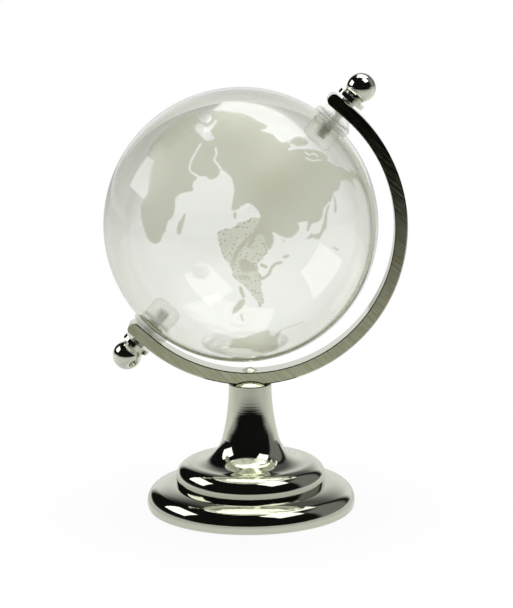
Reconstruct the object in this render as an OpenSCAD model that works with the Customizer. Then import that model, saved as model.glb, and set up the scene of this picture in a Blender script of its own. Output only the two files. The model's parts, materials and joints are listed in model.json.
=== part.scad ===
// Glass desk globe on a stepped metal stand.
// A hollow glass ball turns on two pivot studs between the ends of a bent flat bar, the meridian arm.
// The arm is screwed into the saddle of a flared pedestal, which is bolted to a round foot tier.
// Origin: centre of the underside of the foot pad. +X lies in the plane of the arm, towards its
// closed side. +Z is up. The polar axis leans towards +X at the top. All sizes are millimetres.

/* [Glass globe] */
// Outside diameter of the glass ball
globe_d = 80; // [60:1:120]
// Thickness of the glass wall
glass_wall = 0.9; // [0.7:0.1:4]
// Diameter of the hole ground at each pole
polar_hole_d = 9.2; // [6:0.1:14]

/* [Polar bungs] */
// Diameter of the flange that seats on the glass
bung_flange_d = 12; // [10:0.1:18]
// Thickness of that flange
bung_flange_t = 1; // [0.6:0.1:2]
// Length of the bung, flange and plug together
bung_l = 8.5; // [5:0.1:12]
// Solid end left beyond the blind bore
bung_end_t = 2; // [1:0.1:3]
// Chamfer round the inner end
bung_chamfer = 0.8; // [0.2:0.1:1.5]

/* [Polar axis] */
// Lean of the polar axis from the vertical, in degrees
polar_tilt = 41.4; // [20:0.1:50]
// Distance from the centre of the arm's bend to the polar axis; the bar is straight from there on
axis_offset = 2.3; // [0:0.1:3.5]

/* [Meridian arm] */
// Clearance between the glass and the inside of the bend, before the offset
arm_gap = 2.5; // [2.2:0.1:6]
// Thickness of the bar, across the bend
arm_t = 3.7; // [2.5:0.1:6]
// Width of the bar, along Y
arm_w = 7; // [5.5:0.1:12]
// Straight length of bar past each pivot hole
arm_tip = 5.5; // [3.5:0.1:9]
// Rounding of the corners at each end of the bar
arm_tip_round = 1.7; // [0.5:0.1:1.8]
// Width of the chamfer along the four long edges of the bar, across its thickness
arm_edge = 0.3; // [0.1:0.05:0.6]
// How far that chamfer falls back from the side face
arm_edge_fall = 0.15; // [0.05:0.05:0.6]

/* [Pivot studs and spacers] */
// Diameter of the threaded length of a stud
stud_d = 4; // [3:0.1:5]
// Diameter of the plain journal that runs in the bung
journal_d = 3; // [2:0.1:3.8]
// Diameter of a spacer where it rests on the arm
spacer_d = 8; // [6:0.1:11]
// Diameter of a spacer where it faces its bung
spacer_foot_d = 11.6; // [8:0.1:14]
// Room taken by the spacer between the arm and the south bung
south_spacer_t = 0.8; // [0.4:0.1:1.2]
// Free play between a spacer and its bung
end_play = 0.22; // [0.1:0.01:0.4]

/* [Finials] */
// Diameter of the ball
ball_d = 8.5; // [6:0.1:12]
// Bare stud that shows between the arm and the finial
finial_gap = 0.9; // [0.3:0.1:2]
// Diameter of the flange under the ball
finial_flange_d = 8.8; // [6:0.1:12]
// Thickness of that flange
finial_flange_t = 1.3; // [0.8:0.1:2.5]
// Least diameter of the neck between the flange and the ball
neck_d = 6.2; // [4.8:0.1:8]
// Length of the neck before the ball
neck_l = 0.84; // [0.5:0.01:2]
// Depth that the stud screws into the finial
stud_grip = 5.5; // [3:0.1:8]

/* [Pedestal] */
// Greatest diameter of the upper tier
pedestal_d = 44.6; // [42:0.1:52]
// Height of the upper tier
pedestal_tier_h = 6.2; // [5:0.1:10]
// Radius of the rounded shoulder of the upper tier
pedestal_round = 4.8; // [3.2:0.1:5.6]
// Height of the stem above the upper tier
stem_h = 23.6; // [20:0.1:32]
// Diameter of the stem at its top rim
stem_d = 12.6; // [10:0.1:15]
// Radius of the flare where the stem meets the tier
flare_r = 9.4; // [7.5:0.1:10.4]
// Height of the domed crown above the rim
crown_h = 2; // [1:0.1:3]
// Depth of the arm's saddle below the top of the crown
saddle_depth = 1.8; // [0.6:0.1:2.6]

/* [Foot tier] */
// Greatest diameter of the foot tier
foot_d = 61.9; // [54:0.1:72]
// Height of the foot tier
foot_h = 7.4; // [7:0.1:12]
// Radius of its rolled edge
foot_round = 4.7; // [4:0.1:5.6]
// Slope where the roll runs into the domed top, in degrees
foot_dome_slope = 25; // [10:1:32]
// Thickness of the web that the pedestal stands on
foot_web = 2.2; // [1.5:0.1:2.5]
// Diameter of the hollow under the web
hollow_d = 40; // [24:0.5:50]

/* [Foot pad] */
// Diameter of the pad
pad_d = 55; // [45:0.5:58]
// Thickness of the pad
pad_t = 1.2; // [0.8:0.1:2]
// How far the pad stands below the metal
pad_proud = 0.3; // [0.1:0.05:0.6]

/* [Fasteners] */
// Diameter of the tie bolt
bolt_d = 4; // [3:0.1:5]
// Depth that the tie bolt screws into the pedestal
bolt_grip = 12; // [8:0.5:18]
// Diameter of the tie bolt's head
bolt_head_d = 8; // [6:0.1:10]
// Height of the tie bolt's head
bolt_head_h = 2.3; // [1.6:0.1:2.6]
// Width of the driver slot in that head
bolt_slot_w = 1.1; // [0.6:0.1:1.6]
// Depth of the driver slot
bolt_slot_depth = 1.1; // [0.6:0.1:1.4]
// Diameter of the flat washer
washer_d = 9; // [7:0.1:14]
// Thickness of the flat washer
washer_t = 0.8; // [0.5:0.1:1]
// Diameter of the spring washer
spring_washer_d = 7.4; // [6:0.1:10]
// Thickness of the spring washer
spring_washer_t = 0.9; // [0.6:0.1:1]
// Width of the split in the spring washer
spring_washer_split = 0.8; // [0.4:0.1:1.2]
// Diameter of the screw that holds the arm
arm_screw_d = 2.5; // [2:0.1:3.5]
// Diameter of its head
arm_screw_head_d = 4.5; // [4:0.1:6]
// Height of its head
arm_screw_head_h = 0.95; // [0.6:0.05:1.6]
// Depth that it screws into the pedestal
arm_screw_grip = 8; // [5:0.5:12]

/* [Fits] */
// Radial running clearance of a journal in its bung and spacer
running_gap = 0.05; // [0.02:0.01:0.1]
// Radial clearance of a thread or a plug in its hole
thread_gap = 0.03; // [0.01:0.01:0.06]
// Clearance between pieces that seat on each other along a curve
seat_gap = 0.03; // [0.01:0.01:0.1]
// Room left in a blind hole beyond the end of its screw
blind_room = 0.8; // [0.3:0.1:1.5]

/* [Hidden] */
$fn = 96;

// Extra length that carries a cut clear of the face it starts from
over = 1;

// Heights above the underside of the pad
foot_z = pad_proud;
foot_top_z = foot_z + foot_h;
tier_top_z = foot_top_z + pedestal_tier_h;
rim_z = tier_top_z + stem_h;
crown_z = rim_z + crown_h;
arm_bottom_z = crown_z - saddle_depth;

// Meridian arm: radii of its bend, which are also the places of its straight ends along the polar axis
globe_r = globe_d / 2;
arm_in_r = globe_r + arm_gap;
arm_out_r = arm_in_r + arm_t;
arm_z = arm_bottom_z + arm_out_r;
arm_screw_seat_z = arm_z - arm_in_r;

// The globe rides down the axis until its south bung is one end play off the south spacer
bung_seat = sqrt(pow(globe_r, 2) - pow(polar_hole_d / 2, 2));
bung_face = bung_seat + bung_flange_t;
globe_drop = arm_in_r - south_spacer_t - end_play - bung_face;
north_spacer_t = arm_in_r + globe_drop - end_play - bung_face;
bung_tip = bung_face - bung_l;
bore_end = bung_tip + bung_end_t;
journal_end = bore_end + end_play;

// A spacer is a little wider than the straight end of the bar, so it stops short of where the bend begins
spacer_past_bend = max(0, spacer_d / 2 - axis_offset);
spacer_seat = sqrt(pow(arm_in_r, 2) - pow(spacer_past_bend, 2)) - seat_gap;

// Finial: heights along the polar axis, above the outer face of the arm's end
finial_flange_top = finial_gap + finial_flange_t;
ball_r = ball_d / 2;
ball_sink = sqrt(pow(ball_r, 2) - pow(neck_d / 2, 2));
ball_h = finial_flange_top + neck_l + ball_sink;

// Pedestal outline: the stem's long waist meets the flare arc with no corner
stem_r = stem_d / 2;
roll_x = pedestal_d / 2 - pedestal_round;
flare_z = tier_top_z + flare_r;
waist_dx = stem_r - roll_x;
waist_dz = rim_z - flare_z;
waist_r = (pow(flare_r, 2) - pow(waist_dx, 2) - pow(waist_dz, 2)) / (2 * (waist_dx + flare_r));
waist_meet_z = rim_z - waist_r * waist_dz / (waist_r - flare_r);
crown_r = (pow(stem_r, 2) + pow(crown_h, 2)) / (2 * crown_h);

// Foot outline: the dome leaves the roll with no corner and is level where the pedestal stands on it.
// Heights are counted from the underside of the foot.
foot_roll_x = foot_d / 2 - foot_round;
dome_x = pedestal_d / 2;
dome_end_x = foot_roll_x + foot_round * sin(foot_dome_slope);
dome_r = (dome_end_x - dome_x) / sin(foot_dome_slope);
dome_end_h = foot_h - dome_r * (1 - cos(foot_dome_slope));
foot_roll_h = dome_end_h - foot_round * cos(foot_dome_slope);

// Fasteners under the foot
web_z = foot_top_z - foot_web;
washer_z = web_z - washer_t;
spring_washer_z = washer_z - spring_washer_t;
bolt_head_z = spring_washer_z - bolt_head_h;
pad_top_z = pad_t;

steel_grey = [0.60, 0.60, 0.58];
nickel = [0.80, 0.79, 0.74];
satin_nickel = [0.62, 0.61, 0.54];
nylon_white = [0.92, 0.92, 0.88];
clear_plastic = [0.86, 0.88, 0.84, 0.7];
clear_glass = [0.85, 0.90, 0.88, 0.35];
pad_black = [0.12, 0.12, 0.12];

// Places its children on the polar axis: local +Z points to the north finial, local +X to the
// closed side of the arm, and the local origin is abreast of the centre of the arm's bend.
module on_polar_axis() {
    translate([-axis_offset * cos(polar_tilt), 0, arm_z + axis_offset * sin(polar_tilt)])
        rotate([0, polar_tilt, 0]) children();
}

// Places its children on the polar axis with the local origin at the centre of the globe.
module on_globe() {
    on_polar_axis() translate([0, 0, -globe_drop]) children();
}

// Turns what is drawn for the north end over to the south end.
module at_end(south) {
    rotate([south ? 180 : 0, 0, 0]) children();
}

// A disc with a true hole, standing on local zero.
module ring(outer_d, inner_d, height) {
    difference() {
        cylinder(d = outer_d, h = height);
        translate([0, 0, -over]) cylinder(d = inner_d, h = height + 2 * over);
    }
}

// Half outline of a disc with a straight wall and a rounded shoulder above it.
module shouldered_tier_outline(diameter, height, round_r) {
    centre_x = diameter / 2 - round_r;
    square([centre_x, height]);
    square([diameter / 2, height - round_r]);
    translate([centre_x, height - round_r]) intersection() {
        circle(r = round_r);
        square(round_r + over);
    }
}

// Half outline of the foot: level under the pedestal, then a gentle dome that runs into the rolled edge.
module foot_outline() {
    square([dome_x, foot_h]);
    intersection() {
        translate([dome_x, foot_h - dome_r]) circle(r = dome_r);
        translate([dome_x, 0]) square([dome_end_x - dome_x, foot_h + over]);
    }
    intersection() {
        translate([foot_roll_x, foot_roll_h]) circle(r = foot_round);
        translate([dome_end_x, 0]) square([foot_round, foot_h]);
    }
}

// Foot pad: a disc of dense foam let into the foot, standing a little proud of it.
module base_pad() {
    color(pad_black) cylinder(d = pad_d, h = pad_t);
}

// Foot tier: a cast disc with a rolled edge, hollow underneath, with a recess for the pad.
module foot_tier() {
    color(nickel) difference() {
        translate([0, 0, foot_z]) rotate_extrude() foot_outline();
        translate([0, 0, foot_z - over]) cylinder(d = hollow_d, h = foot_h - foot_web + over);
        translate([0, 0, foot_z - over])
            cylinder(d = pad_d + 2 * thread_gap, h = pad_top_z - foot_z + over);
        translate([0, 0, web_z - over]) cylinder(d = bolt_d + 2 * thread_gap, h = foot_web + 2 * over);
    }
}

// Half outline of the stem: a long waist above, a tighter flare below, and a domed crown.
module stem_outline() {
    difference() {
        translate([0, tier_top_z - over]) square([roll_x, stem_h + over]);
        intersection() {
            translate([stem_r + waist_r, rim_z]) circle(r = waist_r, $fn = 4 * $fn);
            translate([0, waist_meet_z]) square([roll_x + over, rim_z - waist_meet_z + over]);
        }
        translate([roll_x, flare_z]) circle(r = flare_r);
    }
    intersection() {
        translate([0, crown_z - crown_r]) circle(r = crown_r, $fn = 2 * $fn);
        translate([0, rim_z]) square([stem_r, crown_h + over]);
    }
}

// Pedestal: upper tier and stem turned in one piece, with a saddle cut to the arm's own curve.
module pedestal() {
    color(nickel) difference() {
        rotate_extrude() {
            translate([0, foot_top_z]) shouldered_tier_outline(pedestal_d, pedestal_tier_h, pedestal_round);
            stem_outline();
        }
        translate([0, 0, arm_z]) rotate([90, 0, 0])
            cylinder(r = arm_out_r + seat_gap, h = arm_w + 2 * seat_gap, center = true, $fn = 4 * $fn);
        translate([0, 0, foot_top_z - over]) cylinder(d = bolt_d + 2 * thread_gap, h = bolt_grip + over);
        translate([0, 0, arm_bottom_z - arm_screw_grip])
            cylinder(d = arm_screw_d + 2 * thread_gap, h = arm_screw_grip + crown_h + over);
    }
}

// Tie bolt: pan-head bolt that draws the pedestal down on the foot tier.
module tie_bolt() {
    color(steel_grey) {
        difference() {
            translate([0, 0, bolt_head_z]) cylinder(d = bolt_head_d, h = bolt_head_h);
            translate([-bolt_head_d, -bolt_slot_w / 2, bolt_head_z - over])
                cube([2 * bolt_head_d, bolt_slot_w, bolt_slot_depth + over]);
        }
        translate([0, 0, spring_washer_z])
            cylinder(d = bolt_d, h = foot_top_z + bolt_grip - blind_room - spring_washer_z);
    }
}

// Flat washer against the web of the foot tier.
module tie_washer() {
    color(steel_grey) translate([0, 0, washer_z]) ring(washer_d, bolt_d + 2 * thread_gap, washer_t);
}

// Split spring washer under the bolt head, drawn flat as it is when tightened.
module spring_washer() {
    color(steel_grey) translate([0, 0, spring_washer_z]) difference() {
        ring(spring_washer_d, bolt_d + 2 * thread_gap, spring_washer_t);
        translate([0, -spring_washer_split / 2, -over])
            cube([spring_washer_d, spring_washer_split, spring_washer_t + 2 * over]);
    }
}

// Section of the bar with its four long edges chamfered, as far out as the bend.
module arm_section() {
    half = arm_w / 2;
    edge = half - arm_edge_fall;
    polygon([
        [arm_in_r, edge],
        [arm_in_r + arm_edge, half],
        [arm_out_r - arm_edge, half],
        [arm_out_r, edge],
        [arm_out_r, -edge],
        [arm_out_r - arm_edge, -half],
        [arm_in_r + arm_edge, -half],
        [arm_in_r, -edge]
    ]);
}

// The bend: half a ring of that section.
module arm_bend() {
    translate([axis_offset, 0, 0]) intersection() {
        rotate([90, 0, 0]) rotate_extrude($fn = 4 * $fn) arm_section();
        translate([0, -arm_w, -arm_out_r - over])
            cube([arm_out_r + over, 2 * arm_w, 2 * (arm_out_r + over)]);
    }
}

// Outline that rounds the corners of a straight end, drawn for the north end.
module arm_end_outline() {
    inner_x = arm_tip_round - arm_tip;
    translate([inner_x, arm_in_r]) square([axis_offset - inner_x, arm_t]);
    translate([-arm_tip, arm_in_r + arm_tip_round]) square([arm_tip_round, arm_t - 2 * arm_tip_round]);
    translate([inner_x, arm_in_r + arm_tip_round]) circle(r = arm_tip_round);
    translate([inner_x, arm_out_r - arm_tip_round]) circle(r = arm_tip_round);
}

// Straight end of the bar, which leaves the bend with no corner, drawn for the north end.
module arm_end() {
    intersection() {
        translate([axis_offset, 0, 0]) rotate([0, -90, 0]) linear_extrude(axis_offset + arm_tip + over)
            arm_section();
        rotate([90, 0, 0]) linear_extrude(arm_w + over, center = true) arm_end_outline();
    }
}

// Meridian arm: flat bar bent round the globe, drilled for the two studs and the foot screw.
module meridian_arm() {
    color(satin_nickel) difference() {
        on_polar_axis() {
            arm_bend();
            arm_end();
            mirror([0, 0, 1]) arm_end();
        }
        on_polar_axis() cylinder(d = stud_d + 2 * thread_gap, h = 2 * (arm_out_r + over), center = true);
        translate([0, 0, arm_bottom_z - over])
            cylinder(d = arm_screw_d + 2 * thread_gap, h = arm_t + 2 * over);
        translate([0, 0, arm_screw_seat_z]) cylinder(d = arm_screw_head_d + 4 * thread_gap, h = over);
    }
}

// Arm screw: low domed head on a spot face inside the bend, screwed into the pedestal.
module arm_screw() {
    head_r = arm_screw_head_d / 2;
    head_dome_r = (pow(head_r, 2) + pow(arm_screw_head_h, 2)) / (2 * arm_screw_head_h);
    color(steel_grey) {
        translate([0, 0, arm_screw_seat_z]) intersection() {
            cylinder(r = head_r, h = arm_screw_head_h);
            translate([0, 0, arm_screw_head_h - head_dome_r]) sphere(r = head_dome_r);
        }
        translate([0, 0, arm_bottom_z - arm_screw_grip + blind_room])
            cylinder(d = arm_screw_d, h = arm_t + arm_screw_grip - blind_room);
    }
}

// Half outline of a finial: flange, waisted neck and ball.
module finial_outline() {
    groove_r = neck_l / 2;
    intersection() {
        translate([0, ball_h]) circle(r = ball_r);
        translate([0, finial_flange_top + neck_l]) square([ball_r + over, 2 * ball_r]);
    }
    translate([0, finial_gap]) square([finial_flange_d / 2, finial_flange_t]);
    difference() {
        translate([0, finial_flange_top]) square([neck_d / 2 + groove_r, neck_l]);
        translate([neck_d / 2 + groove_r, finial_flange_top + groove_r]) circle(r = groove_r);
    }
}

// Finial: turned ball knob, screwed on the outer end of its stud.
module finial(south) {
    color(nickel) on_polar_axis() at_end(south) translate([0, 0, arm_out_r]) difference() {
        rotate_extrude() finial_outline();
        translate([0, 0, finial_gap - over]) cylinder(d = stud_d + 2 * thread_gap, h = stud_grip + over);
    }
}
module north_finial() { finial(false); }
module south_finial() { finial(true); }

// Distance along the axis from the centre of the bend to a point of the globe, at either end.
function from_bend(south, height) = height + (south ? globe_drop : -globe_drop);

// Half outline of a stud: a plain journal below, a threaded length above its shoulder.
module stud_outline(tip) {
    top = arm_out_r + finial_gap + stud_grip - blind_room;
    polygon([
        [0, tip],
        [journal_d / 2, tip],
        [journal_d / 2, arm_in_r],
        [stud_d / 2, arm_in_r],
        [stud_d / 2, top],
        [0, top]
    ]);
}

// Stud: threaded through the arm into the finial, with its journal running in the bung.
module stud(south) {
    tip = from_bend(south, journal_end);
    color(steel_grey) on_polar_axis() at_end(south) rotate_extrude() stud_outline(tip);
}
module north_stud() { stud(false); }
module south_stud() { stud(true); }

// Spacer: nylon collar on the journal, between the arm and the bung, tapered to meet the glass.
module spacer(south, thickness) {
    foot = arm_in_r - thickness;
    color(nylon_white) on_polar_axis() at_end(south) difference() {
        translate([0, 0, foot]) cylinder(d1 = spacer_foot_d, d2 = spacer_d, h = spacer_seat - foot);
        translate([0, 0, foot - over]) cylinder(d = journal_d + 2 * running_gap, h = thickness + 2 * over);
    }
}
module north_spacer() { spacer(false, north_spacer_t); }
module south_spacer() { spacer(true, south_spacer_t); }

// Glass globe: hollow blown ball with a ground hole at each pole.
module glass_globe() {
    color(clear_glass) on_globe() difference() {
        sphere(r = globe_r);
        sphere(r = globe_r - glass_wall);
        cylinder(d = polar_hole_d, h = 2 * (globe_r + over), center = true);
    }
}

// Half outline of a bung: flange outside the glass, plug inside with a chamfered end.
module bung_outline() {
    plug_r = polar_hole_d / 2 - running_gap;
    polygon([
        [0, bung_tip],
        [plug_r - bung_chamfer, bung_tip],
        [plug_r, bung_tip + bung_chamfer],
        [plug_r, bung_seat],
        [bung_flange_d / 2, bung_seat],
        [bung_flange_d / 2, bung_face],
        [0, bung_face]
    ]);
}

// Bung: translucent plastic plug in the polar hole, with a blind bore for the journal.
module bung(south) {
    color(clear_plastic) on_globe() at_end(south) difference() {
        rotate_extrude() bung_outline();
        translate([0, 0, bore_end])
            cylinder(d = journal_d + 2 * running_gap, h = bung_face - bore_end + over);
    }
}
module north_bung() { bung(false); }
module south_bung() { bung(true); }

base_pad();
foot_tier();
pedestal();
tie_bolt();
tie_washer();
spring_washer();
meridian_arm();
arm_screw();
north_finial();
south_finial();
north_stud();
south_stud();
north_spacer();
south_spacer();
glass_globe();
north_bung();
south_bung();
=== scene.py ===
import json
import math

import bmesh
import bpy
import numpy as np
from mathutils import Matrix, Vector


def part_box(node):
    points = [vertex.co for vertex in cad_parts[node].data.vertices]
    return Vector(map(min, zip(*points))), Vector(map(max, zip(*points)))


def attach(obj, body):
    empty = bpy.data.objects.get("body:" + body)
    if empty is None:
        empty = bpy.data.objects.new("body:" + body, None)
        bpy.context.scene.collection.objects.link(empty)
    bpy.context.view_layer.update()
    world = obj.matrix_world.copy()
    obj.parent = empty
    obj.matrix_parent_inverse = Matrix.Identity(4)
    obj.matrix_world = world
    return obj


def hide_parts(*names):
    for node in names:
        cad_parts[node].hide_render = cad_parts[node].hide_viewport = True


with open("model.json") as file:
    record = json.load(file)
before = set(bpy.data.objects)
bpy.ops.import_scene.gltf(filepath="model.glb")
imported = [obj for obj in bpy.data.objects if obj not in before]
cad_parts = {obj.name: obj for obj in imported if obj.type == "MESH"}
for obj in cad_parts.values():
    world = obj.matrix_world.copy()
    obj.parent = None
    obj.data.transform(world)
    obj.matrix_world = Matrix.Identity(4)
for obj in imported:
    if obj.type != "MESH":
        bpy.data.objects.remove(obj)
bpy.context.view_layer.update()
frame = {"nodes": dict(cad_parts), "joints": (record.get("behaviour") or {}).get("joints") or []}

# Viewpoint
# The globe is seen from a little above and square to its arm, through a long lens.
# The focal length and every place read from the view are in pixels of its 513 by 608 image.
IMAGE_W, IMAGE_H = 513, 608
FOCAL_PIXELS = 2076.4
SENSOR_MM = 36.0
NEAREST_SEEN = 0.01
VIEW_ELEVATION = math.radians(11.284)
VIEW_ROLL = math.radians(-0.496)
VIEW_DISTANCE = 0.6096
VIEW_TARGET = Vector((0.0021, 0.0, 0.0613))

view_back = Vector((0.0, -math.cos(VIEW_ELEVATION), math.sin(VIEW_ELEVATION)))
level_right = Vector((1.0, 0.0, 0.0))
level_up = view_back.cross(level_right)
view_right = level_right * math.cos(VIEW_ROLL) + level_up * math.sin(VIEW_ROLL)
view_up = level_up * math.cos(VIEW_ROLL) - level_right * math.sin(VIEW_ROLL)
view_place = VIEW_TARGET + VIEW_DISTANCE * view_back

camera_data = bpy.data.cameras.new("viewpoint")
camera_data.sensor_width = SENSOR_MM
camera_data.lens = FOCAL_PIXELS * SENSOR_MM / max(IMAGE_W, IMAGE_H)
camera_data.clip_start = NEAREST_SEEN
camera = bpy.data.objects.new("viewpoint", camera_data)
camera.matrix_world = Matrix.Translation(view_place) @ Matrix(
    (view_right, view_up, view_back)
).transposed().to_4x4()
bpy.context.scene.collection.objects.link(camera)
bpy.context.scene.camera = camera


# Foot pad
# A disc of black closed-cell foam, stuck into the recess under the foot so that the
# metal doesn't scratch the desk. It has small open pores and a dusty bloom.
def place(tree, kind, inputs=None, **settings):
    """Adds a shader node, sets its properties, and fills its sockets with values or links."""
    node = tree.nodes.new(kind)
    for name, value in settings.items():
        setattr(node, name, value)
    for name, value in (inputs or {}).items():
        if isinstance(value, bpy.types.NodeSocket):
            tree.links.new(value, node.inputs[name])
        else:
            node.inputs[name].default_value = value
    return node


def new_material(name):
    """An empty material; gives it and its node tree."""
    material = bpy.data.materials.new(name)
    material.use_nodes = True
    material.node_tree.nodes.clear()
    return material, material.node_tree


def show(tree, surface):
    """Wires a shader to the material's output."""
    place(tree, "ShaderNodeOutputMaterial", {"Surface": surface.outputs[0]})


def own_place(tree):
    """The point on the piece, in metres from the origin of the frame."""
    return place(tree, "ShaderNodeTexCoord").outputs["Object"]


def mix_colour(tree, share, first, second):
    """Blends two colours; the share is the second's."""
    blend = place(tree, "ShaderNodeMix", {"Factor": share, "A": first, "B": second}, data_type="RGBA")
    return blend.outputs[2]


def noise(tree, vector, scale, detail):
    """Cloudy noise from zero to one, mostly near a half."""
    node = place(tree, "ShaderNodeTexNoise", {"Vector": vector, "Scale": scale, "Detail": detail})
    return node.outputs["Fac"]


def bumped(tree, height, strength, distance):
    """A normal that is rocked by a height."""
    bump = place(tree, "ShaderNodeBump", {"Height": height, "Strength": strength, "Distance": distance})
    return bump.outputs[0]


def finish_nodes(material, *names):
    """Gives CAD nodes, whose shape is right as it is, this finish."""
    for name in names:
        slots = frame["nodes"][name].data.materials
        slots.clear()
        slots.append(material)


PORES_PER_M, PORE_DEPTH = 2600, 0.0001
BLOOM_PER_M = 180
FOAM_BLACK, FOAM_DUSTY = (0.012, 0.012, 0.013, 1), (0.045, 0.044, 0.042, 1)
pad_foam, tree = new_material("pad_foam")
pores = place(tree, "ShaderNodeTexVoronoi", {"Vector": own_place(tree), "Scale": PORES_PER_M})
bloom = noise(tree, own_place(tree), BLOOM_PER_M, detail=4)
show(tree, place(tree, "ShaderNodeBsdfPrincipled", {
    "Base Color": mix_colour(tree, bloom, FOAM_BLACK, FOAM_DUSTY),
    "Roughness": 0.9,
    "Normal": bumped(tree, pores.outputs["Distance"], strength=0.5, distance=PORE_DEPTH),
}))
finish_nodes(pad_foam, "base_pad")

# Foot tier, pedestal and arm screw
# Zinc castings and a screw, turned, buffed on a wheel and plated with bright nickel. The plate is a near
# mirror, a little warm, with faint rings from the turning, and painted shade darkens the seam round the
# pedestal's crown.
NICKEL_DARK, NICKEL_LIGHT = (0.64, 0.655, 0.545, 1), (0.69, 0.705, 0.60, 1)
NICKEL_CLEAN, NICKEL_HAZED = 0.03, 0.09
# Near-black colour of the painted shade in the seam along the arm and round the crown's rim
PAINTED_SEAM_SHADE = (0.015, 0.014, 0.012, 1)
RINGS_PER_M, RING_HEIGHT = 2600, 0.00002
TIER_RINGS, STEM_RINGS = 0.14, 0.45
FLARE_Z, STEM_Z = 0.02, 0.03
HAZE_PER_M = 140
CLEAN_BELOW, HAZED_ABOVE = 0.35, 0.75
STAND_CENTRE, UPRIGHT = Vector(), Vector((0.0, 0.0, 1.0))
CROWN_RIM_Z = 0.0375
ARM_FACE_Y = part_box("meridian_arm")[1].y
SEAM_WIDTH, SEAM_FADE = 0.0006, 0.0002
RIM_SHADE_BELOW, RIM_SHADE_ABOVE, RIM_SHADE_FADE = 0.00015, 0.0001, 0.00006

turning = bpy.data.node_groups.new("turning_rings", "ShaderNodeTree")
for name, kind in (("Centre", "Vector"), ("Axis", "Vector"), ("Rings per m", "Float")):
    turning.interface.new_socket(name, in_out="INPUT", socket_type=f"NodeSocket{kind}")
turning.interface.new_socket("Height", in_out="OUTPUT", socket_type="NodeSocketFloat")
entry = place(turning, "NodeGroupInput")
from_centre = place(turning, "ShaderNodeVectorMath", {
    0: own_place(turning), 1: entry.outputs["Centre"],
}, operation="SUBTRACT")
along = place(turning, "ShaderNodeVectorMath", {
    0: from_centre.outputs[0], 1: entry.outputs["Axis"],
}, operation="DOT_PRODUCT")
on_axis = place(turning, "ShaderNodeVectorMath", {
    0: entry.outputs["Axis"], "Scale": along.outputs["Value"],
}, operation="SCALE")
off_axis = place(turning, "ShaderNodeVectorMath", {
    0: from_centre.outputs[0], 1: on_axis.outputs[0],
}, operation="DISTANCE")
ring_place = place(turning, "ShaderNodeCombineXYZ", {
    0: off_axis.outputs["Value"], 1: along.outputs["Value"],
})
rings = place(turning, "ShaderNodeTexNoise", {
    "Vector": ring_place.outputs[0], "Scale": entry.outputs["Rings per m"], "Detail": 3,
}, noise_dimensions="2D")
place(turning, "NodeGroupOutput", {"Height": rings.outputs["Fac"]})

handling = bpy.data.node_groups.new("handling_haze", "ShaderNodeTree")
for name in ("Patches per m", "Clean", "Hazed"):
    handling.interface.new_socket(name, in_out="INPUT", socket_type="NodeSocketFloat")
handling.interface.new_socket("Roughness", in_out="OUTPUT", socket_type="NodeSocketFloat")
entry = place(handling, "NodeGroupInput")
patches = place(handling, "ShaderNodeTexNoise", {
    "Vector": own_place(handling), "Scale": entry.outputs["Patches per m"], "Detail": 5, "Roughness": 0.6,
})
haze = place(handling, "ShaderNodeMapRange", {
    "Value": patches.outputs["Fac"], "From Min": CLEAN_BELOW, "From Max": HAZED_ABOVE,
    "To Min": entry.outputs["Clean"], "To Max": entry.outputs["Hazed"],
})
place(handling, "NodeGroupOutput", {"Roughness": haze.outputs[0]})


def use_group(tree, group, **inputs):
    """Places a shared node group, with its sockets named in words joined by underscores."""
    named = {name.replace("_", " "): value for name, value in inputs.items()}
    return place(tree, "ShaderNodeGroup", named, node_tree=group)


def turned_metal(name, centre, axis, dark, light, clean, hazed, ring_strength, painted_shade=None):
    """Bright metal of a piece that was turned about this axis.

    The strength of the rings is a number or, where it changes over the piece, a function that
    adds it to the material. Painted shade, if there is any, is a function that adds its mask.
    """
    material, tree = new_material(name)
    lines = use_group(tree, turning, Centre=centre, Axis=axis, Rings_per_m=RINGS_PER_M).outputs[0]
    haze = use_group(tree, handling, Patches_per_m=HAZE_PER_M, Clean=clean, Hazed=hazed).outputs[0]
    colour = mix_colour(tree, lines, dark, light)
    if painted_shade:
        colour = mix_colour(tree, painted_shade(tree), colour, PAINTED_SEAM_SHADE)
    if callable(ring_strength):
        ring_strength = ring_strength(tree)
    show(tree, place(tree, "ShaderNodeBsdfPrincipled", {
        "Base Color": colour,
        "Metallic": 1.0,
        "Roughness": haze,
        "Normal": bumped(tree, lines, ring_strength, RING_HEIGHT),
    }))
    return material


def ramp(tree, value, low, high, to_low=0.0, to_high=1.0, kind="SMOOTHSTEP"):
    """Carries a value from one range to another and holds it at the ends."""
    node = place(tree, "ShaderNodeMapRange", {
        "Value": value, "From Min": low, "From Max": high, "To Min": to_low, "To Max": to_high,
    }, interpolation_type=kind)
    return node.outputs[0]


def reckon(tree, operation, first, second=0.0):
    """Works one sum on a value or on two."""
    return place(tree, "ShaderNodeMath", {0: first, 1: second}, operation=operation).outputs[0]


def between(tree, value, low, high, fade):
    """One between two limits, with soft edges, and nothing outside them."""
    rising = ramp(tree, value, low - fade, low + fade)
    falling = ramp(tree, value, high - fade, high + fade, 1.0, 0.0)
    return reckon(tree, "MULTIPLY", rising, falling)


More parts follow.
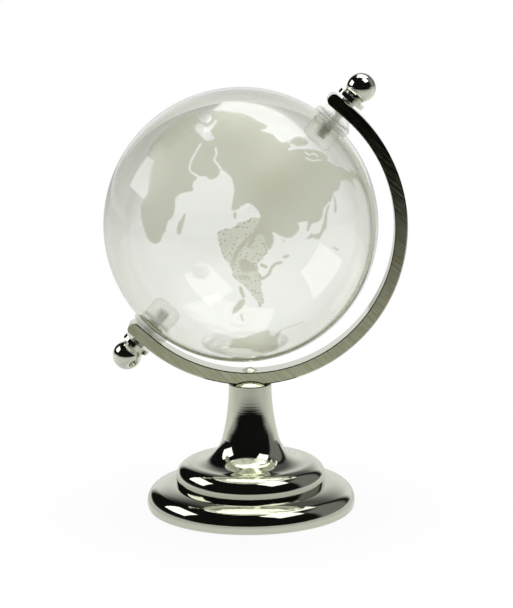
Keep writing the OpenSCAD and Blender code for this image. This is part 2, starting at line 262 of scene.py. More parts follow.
def crown_seam_shade(tree):
    """Painted shade on the crown along the faces of the arm, and a painted dark line round the crown's rim.
    """
    spot = place(tree, "ShaderNodeSeparateXYZ", {0: own_place(tree)})
    off_arm = reckon(tree, "ABSOLUTE", spot.outputs["Y"])
    seam_end = ARM_FACE_Y + SEAM_WIDTH
    by_arm = ramp(tree, off_arm, seam_end, seam_end + SEAM_FADE, 1.0, 0.0)
    on_crown = ramp(tree, spot.outputs["Z"], CROWN_RIM_Z, CROWN_RIM_Z + SEAM_FADE)
    along_arm = reckon(tree, "MULTIPLY", by_arm, on_crown)
    rim_low, rim_high = CROWN_RIM_Z - RIM_SHADE_BELOW, CROWN_RIM_Z + RIM_SHADE_ABOVE
    round_rim = between(tree, spot.outputs["Z"], rim_low, rim_high, RIM_SHADE_FADE)
    return reckon(tree, "MAXIMUM", along_arm, round_rim)


def stem_rings(tree):
    """The buffing has left the rings plainer on the stem than on the tier."""
    spot = place(tree, "ShaderNodeSeparateXYZ", {0: own_place(tree)})
    return ramp(tree, spot.outputs["Z"], FLARE_Z, STEM_Z, TIER_RINGS, STEM_RINGS)


stand_nickel = turned_metal(
    "stand_nickel", STAND_CENTRE, UPRIGHT, NICKEL_DARK, NICKEL_LIGHT,
    clean=NICKEL_CLEAN, hazed=NICKEL_HAZED, ring_strength=TIER_RINGS,
)
finish_nodes(stand_nickel, "foot_tier", "arm_screw")
crowned_nickel = turned_metal(
    "crowned_nickel", STAND_CENTRE, UPRIGHT, NICKEL_DARK, NICKEL_LIGHT,
    clean=NICKEL_CLEAN, hazed=NICKEL_HAZED, ring_strength=stem_rings, painted_shade=crown_seam_shade,
)
finish_nodes(crowned_nickel, "pedestal")

# Tie bolt and its washers
# Plain zinc-plated steel that draws the pedestal down on the foot tier.
# It is out of sight in the hollow of the foot, so it keeps its tool marks.
STEEL_DARK, STEEL_LIGHT = (0.48, 0.48, 0.46, 1), (0.62, 0.62, 0.59, 1)
foot_steel = turned_metal(
    "foot_steel", STAND_CENTRE, UPRIGHT, STEEL_DARK, STEEL_LIGHT,
    clean=0.25, hazed=0.4, ring_strength=0.5,
)
finish_nodes(foot_steel, "tie_bolt", "tie_washer", "spring_washer")

# Meridian arm
# Flat bar, bent cold round a former, chamfered, ground on its two side faces and plated. The grinding runs
# slantwise and dulls those faces to a satin, which has brown stains; the rest is bright, but the chamfer
# next to the globe is painted dark, a painted reflection of the dark room.
joint = frame["joints"][0]
GLOBE_CENTRE = Vector(joint["pos_m"])
SIDE_FACE, OFF_INNER_FACE, TOWARDS_GLOBE = (0.93, 0.97), (0.75, 0.85), (-0.3, -0.2)
GRIND_SLANT = math.radians(-47)
GRIND_WIDTH, GRIND_LENGTH, GRIND_DEPTH = 0.0004, 0.008, 0.00003
GRIND_SPREAD = (0.3, 0.7)
GROUND_DARK, GROUND_LIGHT = (0.46, 0.47, 0.32, 1), (0.64, 0.65, 0.47, 1)
STAINS_PER_M, STAIN_EDGE, STAIN_SHARE = 420, (0.5, 0.72), 0.6
STAIN_TINT, CHAMFER_PAINTED_DARK = (0.50, 0.44, 0.27, 1), (0.08, 0.08, 0.06, 1)
CLOUDS_PER_M, CLOUD_SPREAD = 160, (0.35, 0.7)
SATIN_ROUGH, BRIGHT_ROUGH = (0.06, 0.12), (0.04, 0.1)


def mix_value(tree, share, first, second):
    """Blends two values; the share is the second's."""
    return place(tree, "ShaderNodeMix", {0: share, 2: first, 3: second}, data_type="FLOAT").outputs[0]


satin_nickel, tree = new_material("satin_nickel")
normal = place(tree, "ShaderNodeTexCoord").outputs["Normal"]
sideways = reckon(tree, "ABSOLUTE", place(tree, "ShaderNodeSeparateXYZ", {0: normal}).outputs["Y"])
ground_face = ramp(tree, sideways, *SIDE_FACE)
from_globe = place(tree, "ShaderNodeVectorMath", {0: own_place(tree), 1: GLOBE_CENTRE}, operation="SUBTRACT")
away = place(tree, "ShaderNodeVectorMath", {0: from_globe.outputs[0]}, operation="NORMALIZE")
leans_away = place(tree, "ShaderNodeVectorMath", {0: away.outputs[0], 1: normal}, operation="DOT_PRODUCT")
faces_globe = ramp(tree, leans_away.outputs["Value"], *TOWARDS_GLOBE, 1.0, 0.0)
# The chamfer next to the globe is painted near black, a painted reflection of the dark room.
painted_dark_chamfer = reckon(tree, "MULTIPLY", faces_globe, ramp(tree, sideways, *OFF_INNER_FACE))
slant = place(tree, "ShaderNodeMapping", {
    "Vector": own_place(tree),
    "Rotation": (0, GRIND_SLANT, 0),
    "Scale": (GRIND_WIDTH, GRIND_WIDTH, GRIND_LENGTH),
}, vector_type="TEXTURE")
grinding = noise(tree, slant.outputs[0], scale=1.0, detail=4)
cloud = noise(tree, own_place(tree), CLOUDS_PER_M, detail=3)
stain = ramp(tree, noise(tree, own_place(tree), STAINS_PER_M, detail=3), *STAIN_EDGE, 0.0, STAIN_SHARE)
ground_colour = mix_colour(tree, ramp(tree, grinding, *GRIND_SPREAD), GROUND_DARK, GROUND_LIGHT)
satin_colour = mix_colour(tree, stain, ground_colour, STAIN_TINT)
clean_colour = mix_colour(tree, ground_face, NICKEL_LIGHT, satin_colour)
satin_rough = ramp(tree, grinding, *GRIND_SPREAD, *SATIN_ROUGH)
bright_rough = ramp(tree, cloud, *CLOUD_SPREAD, *BRIGHT_ROUGH)
grooves = reckon(tree, "MULTIPLY", grinding, ground_face)
show(tree, place(tree, "ShaderNodeBsdfPrincipled", {
    "Base Color": mix_colour(tree, painted_dark_chamfer, clean_colour, CHAMFER_PAINTED_DARK),
    "Metallic": 1.0,
    "Roughness": mix_value(tree, ground_face, bright_rough, satin_rough),
    "Normal": bumped(tree, grooves, strength=0.8, distance=GRIND_DEPTH),
}))
finish_nodes(satin_nickel, "meridian_arm")

# Finials and studs
# Ball knobs turned in one piece with their flange and plated like the stand; their colour is painted
# lighter, a painted brightening of their reflections.
# Each screws on a zinc-plated steel stud that runs through the arm and carries the globe.
POLAR_AXIS = Vector(joint["axis"]).normalized()
# The finials' nickel is painted lighter than the stand's, a painted brightening of their reflections.
FINIAL_DARK, FINIAL_LIGHT = (0.79, 0.805, 0.70, 1), (0.85, 0.865, 0.76, 1)
polar_nickel = turned_metal(
    "polar_nickel", GLOBE_CENTRE, POLAR_AXIS, FINIAL_DARK, FINIAL_LIGHT,
    clean=0.03, hazed=0.08, ring_strength=0.1,
)
finish_nodes(polar_nickel, "north_finial", "south_finial")
# The studs' zinc is painted lighter than the tie bolt's, a painted brightening where they sit dim inside the
# bungs.
ZINC_DARK, ZINC_LIGHT = (0.80, 0.80, 0.76, 1), (0.90, 0.90, 0.86, 1)
stud_zinc = turned_metal(
    "stud_zinc", GLOBE_CENTRE, POLAR_AXIS, ZINC_DARK, ZINC_LIGHT,
    clean=0.4, hazed=0.55, ring_strength=0.6,
)
finish_nodes(stud_zinc, "north_stud", "south_stud")

# Glass globe
# A hollow ball of clear glass, blown in a mould, with a ground hole at each pole, where a bung holds it.
# The land is etched on the outside through a mask, so it is frosted and a little grey.
GLASS_WALL = 0.0009
HOLE_RADIUS = 0.0046
MERIDIANS, PARALLELS = 192, 96
COAST_ROUNDS = 3
# How near a vertex counts as lying on a cut, and below what cosine a face leans too far to be a wall
ON_CUT, WALL_LEAN = 1e-7, 0.5
# The depth, in pixels, that keeps land off the inner wall
OPEN_SEA = -10.0

# Coasts that face the view, in pixels of its image, picked along each shore
NEAR_LAND = {
    "africa_and_asia": [
        (155, 244), (159, 242.5), (161, 240), (162.5, 234), (165.5, 231.5), (166.5, 226), (168, 220.5),
        (172, 218), (174, 213), (175, 207), (175, 199), (177, 196), (181, 193.5), (187, 192), (192, 191.5),
        (193.5, 189), (192.5, 186), (193, 182), (196, 180), (198, 176), (205, 176), (209, 179), (212, 180),
        (216, 178), (219, 175), (220.5, 169), (224, 171), (229, 175), (232, 179), (233.5, 185), (234, 192),
        (233, 198), (232, 204), (231, 210.5), (236, 210.5), (239, 209), (241, 206), (245, 204), (249, 203),
        (253, 205.5), (257, 209), (259.5, 213), (260.5, 217), (258, 224), (254, 231), (250, 238),
        (247.5, 246), (250, 247.5), (253, 242), (256, 236), (260, 233), (264, 236), (266, 243), (268, 248.5),
        (271, 247), (273.5, 241), (273, 236), (272, 231.5), (276, 233), (280, 236), (286, 238), (292, 237.5),
        (296, 234), (299, 229.5), (299.5, 226), (297.5, 223), (301, 222), (305, 221.5), (307.5, 221),
        (307.5, 226), (306.5, 231), (309, 231), (310.5, 226), (313, 223.5), (317, 222.5), (321, 219.5),
        (323, 214), (324, 208), (328, 203), (331, 201.5), (334, 192.5), (338, 190), (340, 186), (341, 181),
        (345, 180), (349, 181), (352, 184), (356, 190), (354, 184), (352, 178), (357, 179), (361, 184),
        (365, 191), (368, 197), (364, 185), (358, 173.5), (351, 169), (350, 172.5), (346, 170), (341, 167),
        (336, 166), (331, 163), (327, 160.5), (328, 157), (322, 152), (315, 150), (308, 149), (300, 149),
        (291, 149.5), (290, 143), (291, 140.5), (295, 137), (300, 136.5), (305, 139), (309, 143), (305, 146),
        (297, 146), (290, 143), (282, 142), (279, 140.5), (276, 137.5), (273, 134.5), (268, 133), (262, 131),
        (260, 130), (266, 128), (267.5, 126), (264, 123.5), (259, 121.5), (254, 118.5), (248, 115.5),
        (243, 113.5), (235, 112.5), (228, 111.5), (222, 110.5), (214, 111), (208, 111.5), (200, 111),
        (192, 112.5), (183, 116), (178, 120), (172, 125), (164, 131), (157, 138), (151, 146), (148, 153),
        (149, 157.5), (153.5, 160), (151, 167), (149, 175), (148.5, 185), (147, 194), (141, 204),
        (140.5, 214), (142, 222), (145, 232), (147.5, 239), (150.5, 242),
    ],
    "madagascar": [
        (186, 213.5), (184.5, 220), (182.5, 228), (181, 233.5), (178.5, 235.5), (176.5, 233), (177, 228),
        (178.5, 222), (181, 219.5), (184, 214),
    ],
    "sri_lanka": [(235, 211.5), (237, 214), (236.5, 217.5), (234.5, 219), (233, 216), (233.5, 213)],
    "japan": [
        (306, 239), (309, 236), (311, 233.5), (314, 234), (317.5, 233.5), (320, 232), (321.5, 228.5),
        (321.5, 226), (323, 224), (324, 219), (325, 213), (326.5, 208), (329, 203.5), (329.5, 206),
        (328, 212), (327, 219), (327, 225), (326, 228.5), (324, 231), (321.5, 235.5), (319.5, 239),
        (316, 239.5), (313, 237.5), (310, 239),
    ],
    "sakhalin": [(333, 193), (335.5, 199), (337, 206), (336.5, 212), (335, 213.5), (334, 210), (334.5, 204)],
    "borneo": [
        (239, 261), (243, 258.5), (248, 260.5), (253, 264), (257, 267), (258, 271), (253, 271.5),
        (248, 271), (244, 272.5), (241, 271), (239.5, 266),
    ],
    "java": [
        (237, 277), (241, 274.5), (246, 274.5), (249, 276.5), (249.5, 280.5), (246, 279.5), (241, 278.5),
    ],
    "new_guinea": [
        (244.5, 299), (245, 303), (242, 308), (237, 312), (232, 314.5), (233, 308), (236, 304.5), (240, 300),
    ],
    "australia": [
        (229, 347.5), (231, 343), (233.5, 339), (239, 338), (245, 338), (249.5, 335.5), (255, 333.5),
        (262, 331.5), (267, 330), (269.5, 330.5), (269.5, 333.5), (272, 335.5), (275, 335), (277.5, 332.5),
        (280.5, 330), (281, 332), (279, 336), (277, 342), (277.5, 347), (278, 350), (270, 352), (262, 353),
        (251, 351.5), (251, 349.5), (240, 348.5), (233, 348),
    ],
}
# Narrow islands and capes as a line and its width
NEAR_STRIPS = [
    ([(251, 236), (243, 244), (236, 253), (232, 265)], 3.5),
    ([(259, 275), (261, 278.5), (264, 278), (269, 274), (272, 267), (275, 264), (281, 262.5)], 3),
    ([(261.5, 265), (266, 267)], 3),
    ([(284.5, 257), (288, 256)], 3),
    ([(283, 239.5), (284, 241.5)], 1.5),
    ([(333.5, 247.5), (338, 250)], 2),
    ([(240.5, 288), (242, 293), (243.5, 296)], 3.5),
    ([(241, 315), (243, 320.5)], 2),
    ([(281, 330.5), (288, 327.5), (303, 322.5)], 1),
]
# Inland seas and gulfs that cut into the land
NEAR_SEAS = {
    "west_mediterranean": [
        (192, 113), (196, 117), (200, 121), (203, 122.5), (208, 123), (211, 120), (211, 113), (203, 112),
    ],
    "east_mediterranean": [
        (199, 122), (195, 124), (194, 128), (196, 131), (199.5, 134), (202, 137), (205, 140), (209, 140.5),
        (213, 139.5), (214.5, 138), (212, 134), (210, 130.5), (213, 127), (217, 121), (216, 119.5),
        (212, 124), (208.5, 126.5), (205, 126.5), (202.5, 123.5),
    ],
}
NEAR_STRAITS = [
    ([(200.5, 144), (196, 151.5), (191.5, 160), (189.5, 166), (190, 171.5), (195, 174.5), (199, 177)], 1.9),
    ([(215.5, 148), (216.5, 154), (214, 160), (217.5, 164), (221, 169)], 2),
    ([(289.5, 149), (297, 147.5), (304, 147), (310, 147)], 2.5),
    ([(305, 152), (309, 155), (314, 153.5), (318, 156)], 1.5),
    ([(306, 158), (312, 160.5), (322, 160)], 1.2),
]
# Coasts on the side away from the view, where they show through the ball
FAR_LAND = {
    "south_america": [
        (216.5, 234), (219, 231), (224, 229), (230, 229), (233, 227), (235.5, 226), (238, 222.5),
        (243, 221.5), (247, 220.5), (251, 217.5), (256, 217), (261, 218), (268, 224), (273, 233), (274, 241),
        (272, 247), (268, 253), (262, 260), (258.5, 263), (258, 267), (259, 274), (261, 280), (262, 290),
        (264, 298), (264.5, 304), (262, 308), (258.5, 309), (258, 304), (253, 297.5), (248, 290.5),
        (244, 286), (239, 283), (233, 278), (231.5, 270), (228.5, 264), (224, 260), (221, 253), (219, 244),
    ],
    "north_america": [
        (264, 218), (269, 211), (271, 205), (267, 203), (262, 206), (260, 199), (252, 191), (245, 186),
        (247, 177), (252, 171), (260, 172), (264, 178), (267, 171), (265, 164), (275, 158), (290, 157),
        (305, 160), (317, 166), (318, 174), (310, 177), (302, 184), (296, 193), (288, 201), (281, 207),
        (274, 213), (268, 219),
    ],
    "greenland": [(238, 166), (236, 158), (240, 150), (248, 148), (250, 154), (246, 162)],
}


def to_pixels(points):
    """Where points show in the view, and whether they are on the side of the globe that faces it."""
    ray = points - np.array(view_place)
    depth = -ray @ np.array(view_back)
    across = IMAGE_W / 2 + FOCAL_PIXELS * (ray @ np.array(view_right)) / depth
    down = IMAGE_H / 2 - FOCAL_PIXELS * (ray @ np.array(view_up)) / depth
    facing = np.einsum("ij,ij->i", points - np.array(GLOBE_CENTRE), ray) < 0
    return np.stack((across, down), axis=1), facing


def line_distance(pixels, start, end):
    """Distance of each pixel from one straight stretch of a coast."""
    start, run = np.array(start), np.subtract(end, start)
    share = np.clip((pixels - start) @ run / (run @ run), 0, 1)
    return np.linalg.norm(pixels - start - share[:, None] * run, axis=1)


def area_depth(pixels, outline):
    """How deep each pixel lies inside a closed outline, negative outside it."""
    distance = np.full(len(pixels), np.inf)
    inside = np.zeros(len(pixels), bool)
    for start, end in zip(outline, outline[1:] + outline[:1]):
        distance = np.minimum(distance, line_distance(pixels, start, end))
        spans = (start[1] > pixels[:, 1]) != (end[1] > pixels[:, 1])
        if start[1] != end[1]:
            crossing = start[0] + (pixels[:, 1] - start[1]) * (end[0] - start[0]) / (end[1] - start[1])
            inside ^= spans & (pixels[:, 0] < crossing)
    return np.where(inside, distance, -distance)


def strip_depth(pixels, line, width):
    """How deep each pixel lies inside a strip drawn along a line."""
    stretches = zip(line, line[1:])
    return width / 2 - np.min([line_distance(pixels, start, end) for start, end in stretches], axis=0)


def land_depth(points):
    """How far inside the land each point of the glass lies, in pixels, negative at sea."""
    pixels, facing = to_pixels(points)
    near = [area_depth(pixels, outline) for outline in NEAR_LAND.values()]
    near += [strip_depth(pixels, line, width) for line, width in NEAR_STRIPS]
    water = [area_depth(pixels, outline) for outline in NEAR_SEAS.values()]
    water += [strip_depth(pixels, line, width) for line, width in NEAR_STRAITS]
    far = [area_depth(pixels, outline) for outline in FAR_LAND.values()]
    near_depth = np.minimum(np.max(near, axis=0), -np.max(water, axis=0))
    return np.where(facing, near_depth, np.max(far, axis=0))


def sphere_with_polar_holes(radius):
    """A sphere about the polar axis, cut open at both poles."""
    skin = bmesh.new()
    bmesh.ops.create_uvsphere(skin, u_segments=MERIDIANS, v_segments=PARALLELS, radius=radius)
    rim_height = math.sqrt(radius ** 2 - HOLE_RADIUS ** 2)
    for side in (1, -1):
        bmesh.ops.bisect_plane(
            skin, geom=skin.verts[:] + skin.edges[:] + skin.faces[:], dist=ON_CUT,
            plane_co=(0, 0, side * rim_height), plane_no=(0, 0, side), clear_outer=True,
        )
    lean = UPRIGHT.rotation_difference(POLAR_AXIS).to_matrix().to_4x4()
    bmesh.ops.transform(skin, matrix=Matrix.Translation(GLOBE_CENTRE) @ lean, verts=skin.verts)
    return skin


globe_low, globe_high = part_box("glass_globe")
globe_radius = (globe_high.y - globe_low.y) / 2
shell = sphere_with_polar_holes(globe_radius)
depth_layer = shell.verts.layers.float.new("land")
back_layer = shell.verts.layers.float.new("far_side")
for refining in range(COAST_ROUNDS):
    points = np.array([v.co for v in shell.verts])
    depth = np.abs(land_depth(points))
    pixels, facing = to_pixels(points)
    shell.verts.index_update()
    near_coast = []
    for edge in shell.edges:
        a, b = edge.verts[0].index, edge.verts[1].index
        if min(depth[a], depth[b]) < np.linalg.norm(pixels[a] - pixels[b]):
            near_coast.append(edge)
    bmesh.ops.subdivide_edges(shell, edges=near_coast, cuts=1, use_grid_fill=True)
    rims = {v for e in shell.edges if e.is_boundary for v in e.verts}
    for vert in shell.verts:
        if vert not in rims:
            vert.co = GLOBE_CENTRE + (vert.co - GLOBE_CENTRE).normalized() * globe_radius
shell.verts.index_update()
points = np.array([v.co for v in shell.verts])
for vert, depth, faces_view in zip(shell.verts, land_depth(points), to_pixels(points)[1]):
    vert[depth_layer] = depth
    vert[back_layer] = 0.0 if faces_view else 1.0

lining = sphere_with_polar_holes(globe_radius - GLASS_WALL)
bmesh.ops.reverse_faces(lining, faces=lining.faces)
lining_mesh = bpy.data.meshes.new("glass_lining")
lining.to_mesh(lining_mesh)
lining.free()
outer_count = len(shell.verts)
shell.from_mesh(lining_mesh)
bpy.data.meshes.remove(lining_mesh)
for vert in shell.verts[outer_count:]:
    vert[depth_layer] = OPEN_SEA
rims = [e for e in shell.edges if e.is_boundary]
for side in (1, -1):
    ends = [e for e in rims if (e.verts[0].co - GLOBE_CENTRE).dot(POLAR_AXIS) * side > 0]
    bmesh.ops.bridge_loops(shell, edges=ends)
for face in shell.faces:
    face.smooth = True
glass_mesh = bpy.data.meshes.new("glass_ball")
shell.to_mesh(glass_mesh)
shell.free()

# The walls are shaded as true spheres, and the ground rims of the holes keep the mesh's own normals
corner_verts = np.empty(len(glass_mesh.loops), int)
glass_mesh.loops.foreach_get("vertex_index", corner_verts)
vert_places = np.array([v.co for v in glass_mesh.vertices]) - np.array(GLOBE_CENTRE)
radii = np.linalg.norm(vert_places, axis=1, keepdims=True)
wall_normals = np.where(radii > globe_radius - GLASS_WALL / 2, 1, -1) * vert_places / radii
corner_normals = wall_normals[corner_verts]
for polygon in glass_mesh.polygons:
    if abs(Vector(polygon.normal).dot(Vector(wall_normals[polygon.vertices[0]]))) < WALL_LEAN:
        corner_normals[polygon.loop_start:polygon.loop_start + polygon.loop_total] = 0
glass_mesh.normals_split_custom_set(corner_normals)

CLEAR_TINT, LIMB_TINT = (0.925, 0.935, 0.905, 1), (0.87, 0.88, 0.81, 1)
LAND_TINT, PIT_TINT = (0.56, 0.56, 0.43, 1), (0.22, 0.22, 0.16, 1)
# How far a shore wanders and how soft it is, in pixels of the view
NEAR_WANDER, FAR_WANDER = 1.2, 4.0
NEAR_BLUR, FAR_BLUR = 1.1, 0.3
SHORE_PER_M, GRAINS_PER_M, PITS_PER_M = 900, 9000, 900
GRAIN_HEIGHT = 0.00003
PIT_EDGE, PIT_FAINTEST = (0.2, 0.32), 0.14
LIMB_FADE = (0.4, 0.7)
FROST_FADE, FROST_ROUGH, FAR_FROST_SHARE = (0.2, 0.5), (0.42, 0.14), 0.19
etched_glass, tree = new_material("etched_glass")
depth_in_land = place(tree, "ShaderNodeAttribute", attribute_name="land").outputs["Fac"]
far_side = place(tree, "ShaderNodeAttribute", attribute_name="far_side").outputs["Fac"]
wander = reckon(tree, "SUBTRACT", noise(tree, own_place(tree), SHORE_PER_M, detail=3), 0.5)
ragged = reckon(tree, "MULTIPLY", wander, mix_value(tree, far_side, NEAR_WANDER, FAR_WANDER))
shore = reckon(tree, "ADD", depth_in_land, ragged)
shore_blur = mix_value(tree, far_side, NEAR_BLUR, FAR_BLUR)
frost = ramp(tree, shore, reckon(tree, "MULTIPLY", shore_blur, -1.0), shore_blur)
grain = reckon(tree, "MULTIPLY", noise(tree, own_place(tree), GRAINS_PER_M, detail=2), frost)
dots = place(tree, "ShaderNodeTexVoronoi", {"Vector": own_place(tree), "Scale": PITS_PER_M})
specks = ramp(tree, dots.outputs["Distance"], *PIT_EDGE, 1.0, PIT_FAINTEST)
pits = reckon(tree, "MULTIPLY", specks, far_side)
grazing = place(tree, "ShaderNodeLayerWeight", {"Blend": 0.5}).outputs["Facing"]
clear_colour = mix_colour(tree, ramp(tree, grazing, *LIMB_FADE), CLEAR_TINT, LIMB_TINT)
land_colour = mix_colour(tree, pits, LAND_TINT, PIT_TINT)
near_rough = ramp(tree, grazing, *FROST_FADE, *FROST_ROUGH)
frost_rough = reckon(tree, "MULTIPLY", near_rough, mix_value(tree, far_side, 1.0, FAR_FROST_SHARE))
show(tree, place(tree, "ShaderNodeBsdfPrincipled", {
    "Base Color": mix_colour(tree, frost, clear_colour, land_colour),
    "Roughness": reckon(tree, "MULTIPLY", frost, frost_rough),
    "Transmission Weight": 1.0,
    "IOR": 1.5,
    "Normal": bumped(tree, grain, strength=0.25, distance=GRAIN_HEIGHT),
}))
glass_mesh.materials.append(etched_glass)
glass_ball = bpy.data.objects.new("glass_ball", glass_mesh)
bpy.context.scene.collection.objects.link(glass_ball)
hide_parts("glass_globe")
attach(glass_ball, "globe")

# Bungs and spacers
# Plugs moulded in milky plastic that centre the studs in the polar holes, and tapered
# nylon collars that keep them off the arm. Both let light through but nothing is seen clearly.
SWIRLS_PER_M, SWIRL_HEIGHT = 420, 0.00005
SWIRL_SPREAD, MILKY_ROUGH = (0.3, 0.7), (0.7, 0.9)


def milky(name, cloudy, bright):
    """Moulded plastic that lets light through, with faint swirls."""
    material, tree = new_material(name)
    swirl = noise(tree, own_place(tree), SWIRLS_PER_M, detail=4)
    show(tree, place(tree, "ShaderNodeBsdfPrincipled", {
        "Base Color": mix_colour(tree, swirl, cloudy, bright),
        "Roughness": ramp(tree, swirl, *SWIRL_SPREAD, *MILKY_ROUGH),
        "Transmission Weight": 1.0,
        "IOR": 1.12,
        "Normal": bumped(tree, swirl, strength=0.15, distance=SWIRL_HEIGHT),
    }))
    return material


clear_plastic = milky("clear_plastic", cloudy=(0.95, 0.955, 0.91, 1), bright=(0.99, 0.99, 0.96, 1))
finish_nodes(clear_plastic, "north_bung", "south_bung")
nylon = milky("nylon", cloudy=(0.95, 0.955, 0.93, 1), bright=(0.99, 0.99, 0.97, 1))
finish_nodes(nylon, "north_spacer", "south_spacer")

# Studio
# A white table whose paint is painted brighter towards a white sheet hung behind the globe and painted dim
# towards the viewer, a grey wall at the right, a dark room in front, and three soft lamps: left, high at the
# front right, overhead.
# Through the glass, the sides of the table, the top of the sheet and the room look dimmer than in the open.
TABLE_SIZE = 6.0
DIM_FROM, DIM_TO = -0.10, -0.64
SHEET_SIDE = (-0.04, 0.09)
TABLE_PAINTED_DARK = (0.004, 0.004, 0.004, 1)
TABLE_WHITE, TABLE_PAINTED_BRIGHT = (0.59, 0.59, 0.575, 1), (0.74, 0.74, 0.72, 1)
LEFT_SHADE, LEFT_LEVEL = (-0.10, -0.05), (0.15, 1.0)
RIGHT_SHADE, RIGHT_LEVEL = (0.05, 0.10), (1.0, 0.5)
SHADOW_REACH, SHADOW_LEVEL = (0.03, 0.08), (0.94, 1.0)
MIRROR_REACH, MIRROR_LEVEL = (0.031, 0.05), (0.55, 0.0)
table_mesh = bpy.data.meshes.new("table_top")
table = bmesh.new()
bmesh.ops.create_grid(table, x_segments=1, y_segments=1, size=TABLE_SIZE / 2)
table.to_mesh(table_mesh)
table.free()
white_table, tree = new_material("white_table")
spot = own_place(tree)
across_table = place(tree, "ShaderNodeSeparateXYZ", {0: spot}).outputs
from_foot = place(tree, "ShaderNodeVectorMath", {0: spot}, operation="LENGTH").outputs["Value"]
light_path = place(tree, "ShaderNodeLightPath").outputs
left_level = ramp(tree, across_table["X"], *LEFT_SHADE, *LEFT_LEVEL)
right_level = ramp(tree, across_table["X"], *RIGHT_SHADE, *RIGHT_LEVEL)
side_level = reckon(tree, "MULTIPLY", left_level, right_level)
through_glass = reckon(tree, "MULTIPLY", light_path["Is Transmission Ray"], side_level)
seen = reckon(tree, "MAXIMUM", light_path["Is Camera Ray"], through_glass)
seen_glow = reckon(tree, "MULTIPLY", seen, ramp(tree, from_foot, *SHADOW_REACH, *SHADOW_LEVEL))
# Near the foot the table glows in reflections only, a painted reflection of light round the foot.
mirror_share = ramp(tree, from_foot, *MIRROR_REACH, *MIRROR_LEVEL)
mirror_glow = reckon(tree, "MULTIPLY", light_path["Is Glossy Ray"], mirror_share)
glowing = reckon(tree, "MAXIMUM", seen_glow, mirror_glow)
# Painted light and shade: the table's paint is lighter towards the sheet and fades to near black towards the
# viewer.
nearer_sheet = ramp(tree, across_table["Y"], *SHEET_SIDE, kind="LINEAR")
paint_with_painted_light = mix_colour(tree, nearer_sheet, TABLE_WHITE, TABLE_PAINTED_BRIGHT)
painted_light_share = ramp(tree, across_table["Y"], DIM_TO, DIM_FROM, kind="LINEAR")
table_paint = place(tree, "ShaderNodeBsdfDiffuse", {"Color": mix_colour(tree, painted_light_share, TABLE_PAINTED_DARK, paint_with_painted_light)})
table_glow = place(tree, "ShaderNodeEmission", {"Color": (1, 1, 1, 1), "Strength": 1.0})
show(tree, place(tree, "ShaderNodeMixShader", {
    0: glowing, 1: table_paint.outputs[0], 2: table_glow.outputs[0],
}))
table_mesh.materials.append(white_table)
table_top = bpy.data.objects.new("table_top", table_mesh)
bpy.context.scene.collection.objects.link(table_top)

# A turn is counted from straight behind the globe towards +X, and sides, depths and heights
# are the X, Y and Z of a direction of length one
SHEET_LEFT, SHEET_RIGHT, SHEET_FADE = math.radians(-22), math.radians(38), math.radians(6)
SHEET_HEIGHTS, SHEET_LEVEL = (0.2, 0.68), (0.84, 0.1)
WALL_FAR, WALL_NEAR = math.radians(50), math.radians(98)
WALL_HEIGHTS, WALL_LEVEL = (0.7, 0.85), (0.2, 0.0)
EDGE_DEPTHS, EDGE_HEIGHTS, EDGE_LEVEL = (-0.6, -0.1), (0.0, 0.08), (0.42, 0.0)
DARK_ROOM_LEVEL, FILL_LEVEL = 0.006, 0.7
GLASS_DEPTHS, GLASS_HEIGHTS, GLASS_LEVEL = (0.2, 0.6), (0.12, 0.45), (1.0, 0.45)
ROOM_SIDES, ROOM_LEVEL, OVERHEAD_HEIGHTS = (-0.2, 0.2), (0.5, 0.15), (0.5, 0.8)
world = bpy.data.worlds.new("studio")
world.use_nodes = True
bpy.context.scene.world = world
tree = world.node_tree
tree.nodes.clear()
direction = place(tree, "ShaderNodeTexCoord").outputs["Generated"]
to_right, to_sheet, height = place(tree, "ShaderNodeSeparateXYZ", {0: direction}).outputs
turn = reckon(tree, "ARCTAN2", to_right, to_sheet)
on_sheet = between(tree, turn, SHEET_LEFT, SHEET_RIGHT, SHEET_FADE)
sheet = reckon(tree, "MULTIPLY", on_sheet, ramp(tree, height, *SHEET_HEIGHTS, *SHEET_LEVEL))
on_wall = between(tree, turn, WALL_FAR, WALL_NEAR, SHEET_FADE)
wall = reckon(tree, "MULTIPLY", on_wall, ramp(tree, height, *WALL_HEIGHTS, *WALL_LEVEL))
off_viewer = ramp(tree, to_sheet, *EDGE_DEPTHS)
table_edge = reckon(tree, "MULTIPLY", off_viewer, ramp(tree, height, *EDGE_HEIGHTS, *EDGE_LEVEL))
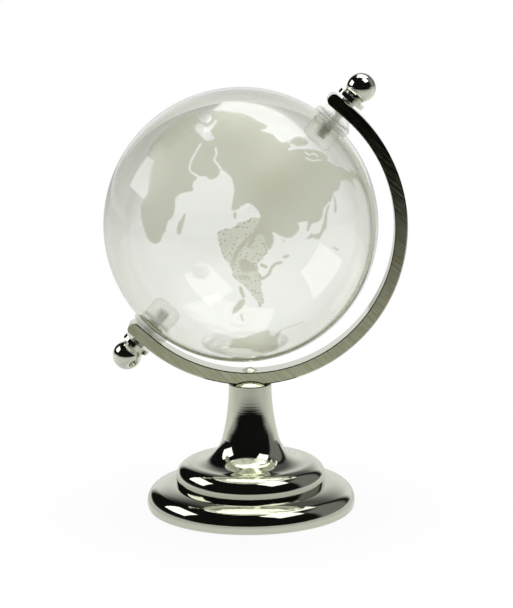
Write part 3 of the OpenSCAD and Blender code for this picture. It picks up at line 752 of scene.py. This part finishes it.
brightest = reckon(tree, "MAXIMUM", reckon(tree, "MAXIMUM", sheet, wall), table_edge)
mirror_view = reckon(tree, "MAXIMUM", brightest, DARK_ROOM_LEVEL)
room_side = ramp(tree, to_right, *ROOM_SIDES, *ROOM_LEVEL)
room = mix_value(tree, ramp(tree, height, *OVERHEAD_HEIGHTS), room_side, 1.0)
sheet_view = ramp(tree, height, *GLASS_HEIGHTS, *GLASS_LEVEL)
glass_view = mix_value(tree, ramp(tree, to_sheet, *GLASS_DEPTHS), room, sheet_view)
light_path = place(tree, "ShaderNodeLightPath").outputs
lighting_level = mix_value(tree, light_path["Is Glossy Ray"], FILL_LEVEL, mirror_view)
indirect_level = mix_value(tree, light_path["Is Transmission Ray"], lighting_level, glass_view)
world_level = mix_value(tree, light_path["Is Camera Ray"], indirect_level, 1.0)
background = place(tree, "ShaderNodeBackground", {"Color": (1, 1, 1, 1), "Strength": world_level})
place(tree, "ShaderNodeOutputWorld", {"Surface": background.outputs[0]})

LAMP_DISTANCE = 0.8


def soft_lamp(name, azimuth, elevation, width, height, radiance):
    """A soft lamp that points at the globe. Azimuth is counted from the viewer towards +X."""
    azimuth, elevation = math.radians(azimuth), math.radians(elevation)
    toward = Vector((
        math.sin(azimuth) * math.cos(elevation),
        -math.cos(azimuth) * math.cos(elevation),
        math.sin(elevation),
    ))
    data = bpy.data.lights.new(name, "AREA")
    data.shape = "RECTANGLE"
    data.size, data.size_y = width, height
    data.energy = radiance * math.pi * width * height
    lamp = bpy.data.objects.new(name, data)
    lamp.location = VIEW_TARGET + LAMP_DISTANCE * toward
    lamp.rotation_euler = toward.to_track_quat("Z", "Y").to_euler()
    bpy.context.scene.collection.objects.link(lamp)


soft_lamp("left_lamp", azimuth=-97.5, elevation=30, width=0.51, height=0.37, radiance=1.7)
soft_lamp("right_lamp", azimuth=57, elevation=59, width=0.40, height=0.43, radiance=1.7)
soft_lamp("top_lamp", azimuth=155, elevation=73, width=0.71, height=0.58, radiance=1.4)

bpy.context.scene.view_settings.view_transform = "Standard"
